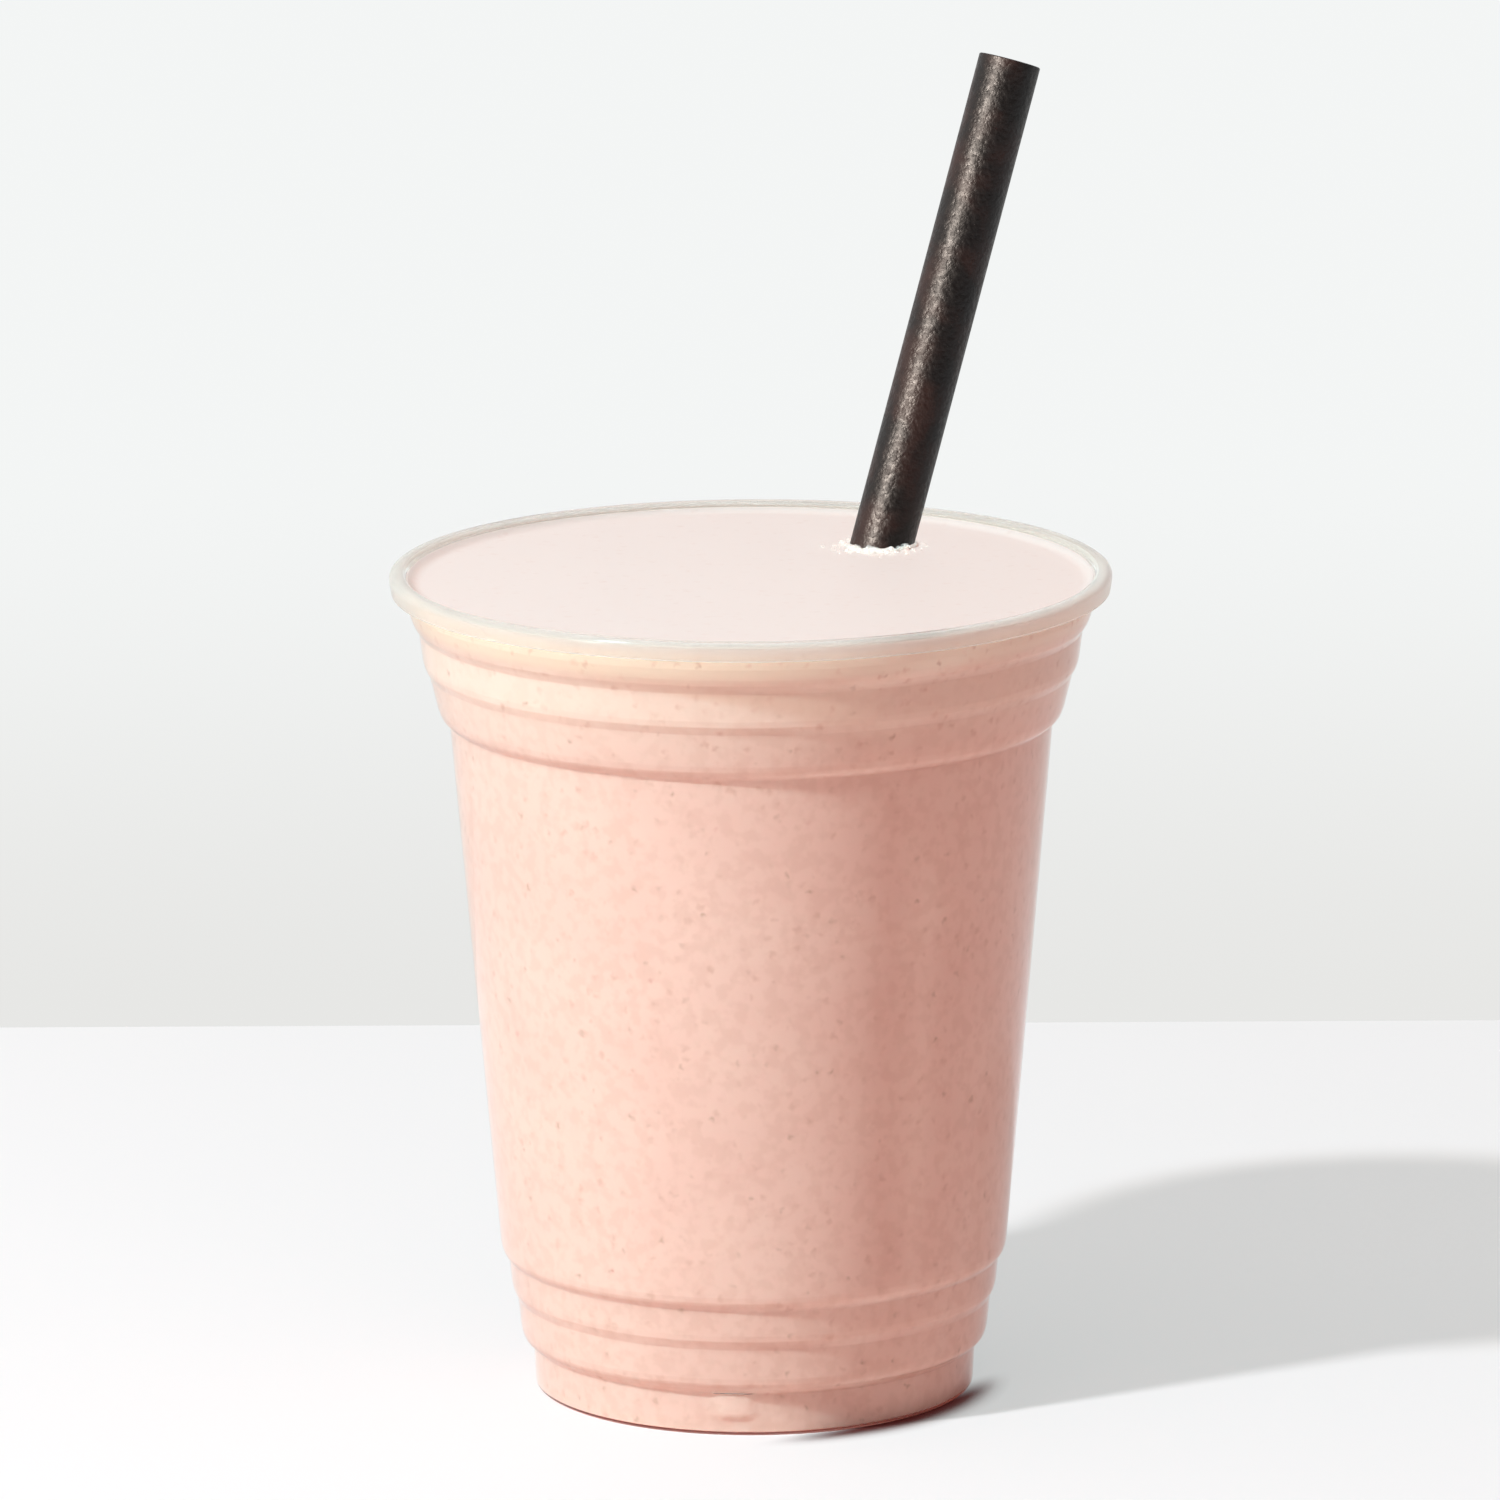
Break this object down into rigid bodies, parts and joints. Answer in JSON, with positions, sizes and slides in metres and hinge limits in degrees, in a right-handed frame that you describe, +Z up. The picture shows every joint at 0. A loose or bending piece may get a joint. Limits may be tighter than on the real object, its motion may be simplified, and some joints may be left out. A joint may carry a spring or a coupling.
{
  "type": "strawberry milkshake in a clear plastic cup",
  "caption": "Strawberry milkshake in a clear disposable cup with a curled lip and stepped bands, and a wide black straw that leans in it.",
  "frame": {"origin": "on the cup's axis, in the plane that its foot ring stands on", "axes": "+Z up along the cup's axis, -Y towards the front as shown in the picture, +X to the right"},
  "size_m": [0.098, 0.098, 0.1784],
  "materials": {
    "clear_plastic": "clear thin thermoformed plastic, glossy",
    "milkshake": "creamy pale pink drink with fine fruit specks, soft satin",
    "black_straw": "black, slightly grainy, satin"
  },
  "bodies": {
    "root": {"cup": "clear_plastic", "milkshake": "milkshake", "straw": "black_straw"}
  },
  "joints": []
}
